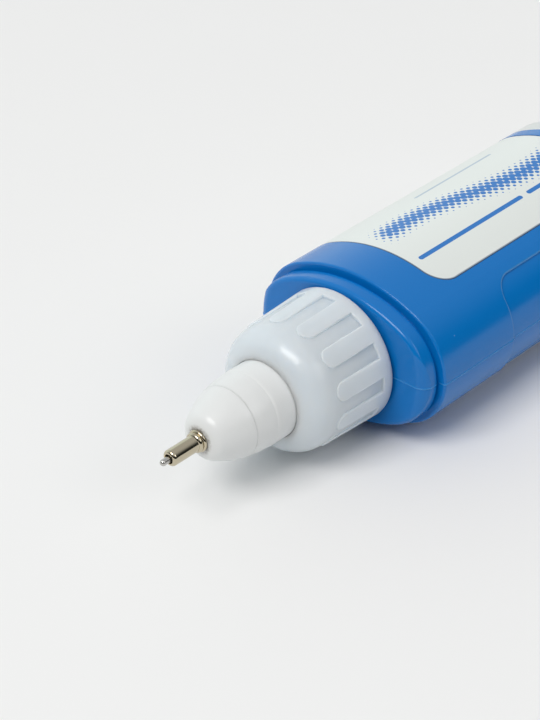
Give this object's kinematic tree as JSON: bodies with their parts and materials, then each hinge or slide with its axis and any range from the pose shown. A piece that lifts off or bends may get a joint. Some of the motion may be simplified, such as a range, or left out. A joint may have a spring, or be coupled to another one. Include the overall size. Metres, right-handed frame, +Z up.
{
  "type": "correction pen",
  "caption": "Squeeze correction pen: oval barrel with a wrapped label, screw-on ribbed nut, glossy nose cone and a fine metal tip with a sprung needle valve.",
  "frame": {"origin": "on the surface the pen lies on, under the middle of its bounding box", "axes": "+X along the pen towards its rear end, +Z up from the broad face that it lies on, -Y towards the side with the finger recess"},
  "size_m": [0.0718, 0.0242, 0.0168],
  "materials": {
    "barrel_blue": "satin moulded polyethylene",
    "label_film": "printed white film",
    "plug_white": "moulded white plastic",
    "nut_milky": "milky, slightly see-through polypropylene",
    "nose_white": "polished white plastic",
    "gasket_rubber": "soft white elastomer",
    "tip_nickel": "nickel-plated turned brass",
    "needle_steel": "drawn stainless wire",
    "head_plastic": "moulded acetal",
    "spring_steel": "drawn spring wire",
    "retainer_plastic": "moulded polypropylene",
    "ball_steel": "polished steel ball"
  },
  "bodies": {
    "bottle": {"barrel": "barrel_blue", "wrap_label": "label_film", "rear_plug": "plug_white"},
    "tip": {"nose_cone": "nose_white", "neck_gasket": "gasket_rubber", "metal_tip": "tip_nickel", "spring_retainer": "retainer_plastic", "valve_spring": "spring_steel"},
    "nut": {"union_nut": "nut_milky"},
    "needle": {"valve_needle": "needle_steel", "needle_head": "head_plastic"},
    "ball": {"mixing_ball": "ball_steel"}
  },
  "joints": [
    {"name": "nose_lift", "type": "slide", "parent": "bottle", "child": "tip", "axis": [-1, 0, 0], "range_m": [0, 0.005]},
    {"name": "nut_turn", "type": "hinge", "parent": "tip", "child": "nut", "pos_m": [-0.015, 0, 0.0084], "axis": [-1, 0, 0], "range_deg": [0, 720]},
    {"name": "needle_press", "type": "slide", "parent": "tip", "child": "needle", "axis": [1, 0, 0], "range_m": [0, 0.0009], "stiffness_N_per_m": 400, "springref_m": -0.001, "deforming": ["valve_spring"]},
    {"name": "ball_roll", "type": "slide", "parent": "bottle", "child": "ball", "axis": [1, 0, 0], "range_m": [-0.0148, 0.0143]}
  ],
  "couplings": [
    {"joint": "nut_turn", "follows": "nose_lift", "rad_per_m": 2513.3}
  ]
}
